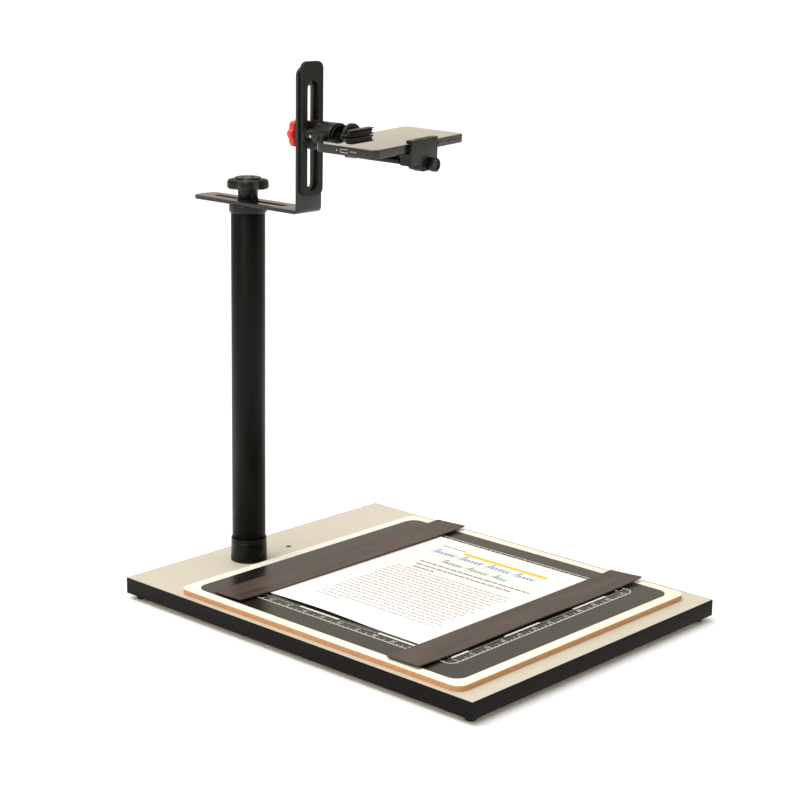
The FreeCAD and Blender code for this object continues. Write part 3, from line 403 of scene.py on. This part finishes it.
def make_phone():
    shell = slab_rings(PHONE_LENGTH, PHONE_WIDTH, 9, [
        (-4.5, 1.3), (-4.35, 0.55), (-3.9, 0.12), (-3.2, 0.0), (3.2, 0.0), (3.9, 0.12), (4.3, 0.5),
        (4.42, 1.1), (4.45, 2.2)], 0.6)
    made("phone_shell", rings_mesh("phone_shell_mesh", shell), PHONE_METAL, "phone", ("phone_body",),
         turn=CLAMP_TURN)
    glass = slab_rings(GLASS_LENGTH, GLASS_WIDTH, 7.5, [(3.9, 0), (4.44, 0), (4.5, 0.15), (4.52, 0.5)])
    made("phone_glass_front", rings_mesh("phone_glass_mesh", glass), GLASS, "phone", ("phone_screen",),
         turn=CLAMP_TURN)
    refined("phone_camera_bump", GLASS, "phone", 0.5)
    dress("phone_camera_lenses", LENS)
    for node, body in (("phone_power_button", "power_button"), ("phone_volume_up_button", "volume_up_button"),
                       ("phone_volume_down_button", "volume_down_button")):
        refined(node, PHONE_METAL, body, 0.25)
    end = -PHONE_LENGTH / 2 - 0.02
    half, middle = 0.6, 0.2
    holes = []
    for across in (9.5, -8.5, -11.5, -14.5):
        holes.append(end_patch(end, across - half, across + half, middle - half, middle + half))
    flats("phone_end_holes", holes, PORT, "phone", turn=CLAMP_TURN)
    rim = []
    for y0, y1, z0, z1 in ((-4.6, 4.6, 1.5, 2.0), (-4.6, 4.6, -1.6, -1.1), (4.1, 4.6, -1.1, 1.5)):
        rim.append(end_patch(end, y0, y1, z0, z1))
    flats("phone_port_rim", rim, PORT, "phone", turn=CLAMP_TURN)
    # Flat black patch in the port opening: painted shade standing in for the dark inside the port.
    mouth = end_patch(end + 0.005, -4.4, 4.4, -1.3, 1.7)
    flats("phone_port_painted_shade", [mouth], INK_BLACK_AND_PAINTED_SHADE, "phone", turn=CLAMP_TURN)


# ---------------------------------------------------------------- copy panel

SHEET_TOP = BOARD_TOP + 6.5
INK = SHEET_TOP + 0.06
FRAME = {"left": -156.0, "right": 148.0, "front": -200.5, "back": 122.0}
BAND = 12.0
INCH = 25.4


def digit_strokes(digit):
    """Strokes of a plain seven-stroke digit on a unit cell: (x0, y0, x1, y1)."""
    lines = {"a": (0, 1, 1, 1), "b": (1, 0.5, 1, 1), "c": (1, 0, 1, 0.5), "d": (0, 0, 1, 0),
             "e": (0, 0, 0, 0.5), "f": (0, 0.5, 0, 1), "g": (0, 0.5, 1, 0.5)}
    shapes = {0: "abcdef", 1: "bc", 2: "abged", 3: "abgcd", 4: "fgbc", 5: "afgcd", 6: "afgedc",
              7: "abc", 8: "abcdefg", 9: "abcdfg"}
    return [lines[part] for part in shapes[digit]]


def thin_line(a, b, width, z):
    a, b = Vector((*a, z)), Vector((*b, z))
    side = (b - a).cross(Vector((0, 0, 1))).normalized() * (width / 2)
    return [tuple(a - side), tuple(b - side), tuple(b + side), tuple(a + side)]


def on_side(side, run, deep):
    """Point on a side of the ruler frame: run along it from its corner, deep inwards."""
    start, along, inward, length = side
    return (start[0] + along[0] * run + inward[0] * deep, start[1] + along[1] * run + inward[1] * deep)


def ruler_outline():
    left, right, front, back = FRAME["left"], FRAME["right"], FRAME["front"], FRAME["back"]
    centre = ((left + right) / 2, (front + back) / 2)
    outline = rounded_rect(right - left, back - front, 9.0, 8)
    points = [(px + centre[0], py + centre[1]) for px, py in outline]
    lines = []
    for a, b in zip(points, points[1:] + points[:1]):
        if (Vector(b) - Vector(a)).length > 0.01:
            lines.append(thin_line(a, b, 1.0, INK))
    return lines


def inch_ticks(side, base):
    """The divider of one inch with its half and quarter ticks."""
    lines = []
    for offset, reach in ((0.0, BAND - 2.5), (INCH / 2, 5.0), (INCH / 4, 2.6), (3 * INCH / 4, 2.6)):
        spot = base + offset
        if spot <= side[3] - BAND + 0.1:
            lines.append(thin_line(on_side(side, spot, 0), on_side(side, spot, reach), 0.6, INK))
    return lines


def inch_number(side, base, number):
    wide, tall, pitch = 2.2, 4.2, 3.4
    lines = []
    for place_no, figure in enumerate(reversed(str(number))):
        for x0, y0, x1, y1 in digit_strokes(int(figure)):
            ends = []
            for px, py in ((x0, y0), (x1, y1)):
                run = base - 2.2 - place_no * pitch - (1 - px) * wide
                ends.append(on_side(side, run, 3.2 + (1 - py) * tall))
            lines.append(thin_line(ends[0], ends[1], 0.55, INK))
    return lines


def inner_scale(side, white, black):
    """Alternating white and black blocks with a fine line outside them."""
    run, shade = BAND, 0
    while run < side[3] - BAND - 1:
        step = min(2.25 * INCH if run > BAND else 1.1 * INCH, side[3] - BAND - run)
        inner = [on_side(side, spot, BAND + 0.8) for spot in (run, run + step)]
        (white if shade == 0 else black).append(thin_line(inner[0], inner[1], 2.6, INK))
        outer = [on_side(side, spot, BAND - 0.8) for spot in (run, run + step)]
        white.append(thin_line(outer[0], outer[1], 0.35, INK))
        run, shade = run + step, 1 - shade


def ruler_print():
    """White frame with inch divisions, half ticks, small numbers and an alternating inner scale."""
    left, right, front, back = FRAME["left"], FRAME["right"], FRAME["front"], FRAME["back"]
    sides = [
        ((left, back), (0, -1), (1, 0), back - front),
        ((left, front), (1, 0), (0, 1), right - left),
        ((right, front), (0, 1), (-1, 0), back - front),
        ((right, back), (-1, 0), (0, -1), right - left),
    ]
    white, black = ruler_outline(), []
    for side in sides:
        count = int((side[3] - 2 * BAND) // INCH)
        for n in range(count + 1):
            base = BAND + n * INCH
            white.extend(inch_ticks(side, base))
            if n:
                white.extend(inch_number(side, base, n))
        inner_scale(side, white, black)
    flats("ruler_white_print", white, INK_WHITE, "panel")
    flats("ruler_black_print", black, INK_BLACK_AND_PAINTED_SHADE, "panel")


def make_panel():
    dress("copy_panel", BOARD_EDGE)
    refined("copy_panel_face", WHITE_FACE, "panel", 0.12)
    dress("steel_sheet", SHEET)
    ruler_print()


def grid_sheet(name, box, thick, height, nx, ny, material, body, replaced):
    """Closed thin sheet on a grid that follows a height function; box is x0, x1, y0, y1."""
    x0, x1, y0, y1 = box
    bm = bmesh.new()
    layers = []
    for lift in (0.0, thick):
        rows = []
        for i in range(nx + 1):
            x = x0 + (x1 - x0) * i / nx
            row = []
            for j in range(ny + 1):
                y = y0 + (y1 - y0) * j / ny
                row.append(bm.verts.new(Vector((x, y, height(x, y) + lift)) * MM))
            rows.append(row)
        layers.append(rows)
    for rows in layers:
        for i in range(nx):
            for j in range(ny):
                bm.faces.new((rows[i][j], rows[i + 1][j], rows[i + 1][j + 1], rows[i][j + 1]))
    low, high = layers
    rim = ([(i, 0) for i in range(nx)] + [(nx, j) for j in range(ny)] + [(i, ny) for i in range(nx, 0, -1)]
           + [(0, j) for j in range(ny, 0, -1)])
    for a, b in zip(rim, rim[1:] + rim[:1]):
        bm.faces.new((low[a[0]][a[1]], low[b[0]][b[1]], high[b[0]][b[1]], high[a[0]][a[1]]))
    rounding = min(0.3, thick * 0.3)
    return made(name, from_bmesh(name + "_mesh", bm), material, body, replaced, bevel=rounding * MM)


PAGE = (-137.5, 142.5, -150.5, 85.5)
BACK_STRIP = (-181.5, 185.5, 76.5, 119.5)
FRONT_STRIP = (-188.5, 183.5, -185.5, -143.0)
STRIP_THICK = 1.6


def page_height(x, y):
    """The page lies flat and bows up a little between the strips at its near edge."""
    near = math.exp(-((x + 138) / 22.0) ** 2)
    across = max(0.0, math.cos((y - 1.5) / 100.0 * math.pi / 2)) ** 2
    return SHEET_TOP + 0.05 + 1.9 * near * across


def page_line(quads, x, y_from, y_to, tall, low=3.0, high=10.0):
    """One line of greeked words running towards -Y."""
    y = y_from
    while y > y_to:
        long = min(random.uniform(low, high), y - y_to)
        if long > 0.8:
            z = page_height(x, y) + 0.36
            quads.append(bar(x - tall / 2, x + tall / 2, y - long, y, z))
        y -= long + 1.5


def scribble(quads, x, y_from, y_to, tall, width, pitch):
    """A flowing line of slanted strokes, like handwriting."""
    points = []
    y, n = y_from, 0
    while y > y_to:
        up = tall * (1.0 if n % 7 == 0 else random.uniform(0.45, 0.6))
        points.append((x, y))
        points.append((x + up, y - pitch * 0.55 - up * 0.2))
        y -= pitch
        n += 1
        if n % 7 == 0:
            points.append(None)
            y -= pitch * 0.8
    z = SHEET_TOP + 0.42
    for a, b in zip(points, points[1:]):
        if a is not None and b is not None:
            quads.append(thin_line(a, b, width, z))


def make_page():
    grid_sheet("page_leaf", PAGE, 0.3, page_height, 70, 60, PAPER, "copy_page", ("page",))
    body_lines = []
    rows = 18
    for n in range(rows):
        x = 31.0 - 128.0 * n / (rows - 1)
        stop = 10.5 if n == rows - 1 else -118.5 + random.uniform(-4, 4)
        page_line(body_lines, x, 46.0 + random.uniform(-0.5, 0.5), stop, 1.8)
    flats("page_body_lines", body_lines, INK_GREY, "copy_page")
    heads = []
    page_line(heads, 60.0, 35.5, -124.5, 2.4, 5, 14)
    page_line(heads, 49.5, 32.5, -105.5, 2.4, 5, 14)
    page_line(heads, 40.0, 28.5, -2.5, 2.4, 5, 14)
    page_line(heads, 119.0, 52.0, 17.0, 2.0, 4, 8)
    flats("page_heading_lines", heads, INK_DARK, "copy_page")
    title = []
    scribble(title, 93.0, 50.0, -98.0, 15.0, 1.3, 5.2)
    flats("page_title", title, INK_BLUE, "copy_page")
    subtitle = []
    scribble(subtitle, 71.0, 17.0, -80.0, 13.0, 1.3, 4.8)
    flats("page_subtitle", subtitle, INK_GREEN, "copy_page")
    flats("page_bar", [bar(109.5, 115.5, -107.5, 14.5, SHEET_TOP + 0.43)], INK_YELLOW, "copy_page")


def strip_height(box, curl, seed):
    """Height of a strip: flat on the page, with its ends and its -Y edge curled up a little."""
    x0, x1, edge_y = box[:3]

    def height(x, y):
        end = math.exp(-(x - x0) / 26.0) * 1.6 + math.exp((x - x1) / 30.0) * 2.4
        out = max(0.0, 1.0 - abs(y - edge_y) / 42.0)
        wave = 0.5 + 0.5 * math.sin(x / 47.0 + seed)
        return SHEET_TOP + 0.36 + end * (0.35 + 0.65 * out) + out ** 2 * (0.5 + 1.1 * wave) * curl
    return height


def make_strips():
    for side, box, curl, seed in (("back", BACK_STRIP, 0.6, 0.4), ("front", FRONT_STRIP, 1.0, 1.9)):
        height = strip_height(box, curl, seed)
        grid_sheet("magnetic_strip_%s_curled" % side, box, STRIP_THICK, height, 90, 12, MAGNET,
                   side + "_strip", ("magnetic_strip_" + side,))


# ---------------------------------------------------------------- stage

FLOOR_SIZE = 80.0
BEHIND = (0.74, 0.67, 0.35)


def area_light(name, spot, aim, size, power, colour=(1, 1, 1)):
    data = bpy.data.lights.new(name, "AREA")
    data.shape = "RECTANGLE"
    data.size, data.size_y = size
    data.energy = power
    data.color = colour
    lamp = bpy.data.objects.new(name, data)
    bpy.context.scene.collection.objects.link(lamp)
    way = Vector(aim) - Vector(spot)
    lamp.matrix_world = Matrix.Translation(Vector(spot)) @ way.to_track_quat("-Z", "Y").to_matrix().to_4x4()


def make_floor():
    bm = bmesh.new()
    bmesh.ops.create_grid(bm, x_segments=1, y_segments=1, size=FLOOR_SIZE)
    floor = bpy.data.objects.new("floor", from_bmesh("floor_mesh", bm))
    floor.data.materials.append(FLOOR)
    bpy.context.scene.collection.objects.link(floor)


def make_backdrop():
    """Sky that is warm near the horizon, and brighter behind the object than in front of it."""
    world = bpy.data.worlds.new("studio")
    bpy.context.scene.world = world
    world.use_nodes = True
    tree = world.node_tree
    backdrop = tree.nodes["Background"]
    way = tree.nodes.new("ShaderNodeTexCoord")
    height = tree.nodes.new("ShaderNodeSeparateXYZ")
    tree.links.new(way.outputs["Generated"], height.inputs["Vector"])
    warmth = tree.nodes.new("ShaderNodeValToRGB")
    warmth.color_ramp.elements[0].position = 0.0
    warmth.color_ramp.elements[0].color = (0.80, 0.72, 0.58, 1)
    warmth.color_ramp.elements[1].position = 0.75
    warmth.color_ramp.elements[1].color = (1, 1, 1, 1)
    warmth.color_ramp.elements.new(0.4).color = (0.86, 0.79, 0.66, 1)
    tree.links.new(height.outputs["Z"], warmth.inputs["Fac"])
    tree.links.new(warmth.outputs["Color"], backdrop.inputs["Color"])
    facing = tree.nodes.new("ShaderNodeVectorMath")
    facing.operation = "DOT_PRODUCT"
    facing.inputs[1].default_value = BEHIND
    tree.links.new(way.outputs["Generated"], facing.inputs[0])
    fade = tree.nodes.new("ShaderNodeMapRange")
    fade.inputs["From Min"].default_value = -0.6
    fade.inputs["From Max"].default_value = 0.5
    fade.inputs["To Min"].default_value = 0.45
    fade.inputs["To Max"].default_value = 1.05
    tree.links.new(facing.outputs["Value"], fade.inputs["Value"])
    tree.links.new(fade.outputs["Result"], backdrop.inputs["Strength"])
    bpy.context.scene.view_settings.view_transform = "Standard"


def make_lights():
    """A wide soft light from overhead and a small one from the left."""
    overhead = bpy.data.lights.new("overhead", "SUN")
    overhead.energy = 1.7
    overhead.angle = math.radians(35)
    overhead.color = (1, 0.995, 0.985)
    lamp = bpy.data.objects.new("overhead", overhead)
    bpy.context.scene.collection.objects.link(lamp)
    lamp.rotation_euler = (math.radians(-12), math.radians(-14), 0)
    area_light("side", (-1.9, -0.4, 1.3), (-0.05, 0, 0.4), (0.9, 0.9), 7, (1, 0.98, 0.95))


CAMERA_ANGLES = (-47.69, 13.98, 0.94)
CAMERA_AT = Vector((-1.5308, -1.3768, 0.749))
CAMERA_LENS = 87.975


def make_camera():
    azimuth, elevation, roll = (math.radians(angle) for angle in CAMERA_ANGLES)
    ahead = Vector((-math.sin(azimuth) * math.cos(elevation), math.cos(azimuth) * math.cos(elevation),
                    -math.sin(elevation)))
    level = ahead.cross(Vector((0, 0, 1))).normalized()
    upright = level.cross(ahead)
    right = math.cos(roll) * level + math.sin(roll) * upright
    up = -math.sin(roll) * level + math.cos(roll) * upright
    data = bpy.data.cameras.new("camera")
    data.sensor_width = 36.0
    data.lens = CAMERA_LENS
    data.clip_start = 0.05
    data.clip_end = 300.0
    camera = bpy.data.objects.new("camera", data)
    bpy.context.scene.collection.objects.link(camera)
    turn = Matrix((right, up, -ahead)).transposed().to_4x4()
    camera.matrix_world = Matrix.Translation(CAMERA_AT) @ turn
    bpy.context.scene.camera = camera


make_board()
make_column()
make_arm()
make_top_knob()
make_red_knob()
make_head()
make_clamp()
make_phone()
make_panel()
make_page()
make_strips()
make_floor()
make_backdrop()
make_lights()
make_camera()
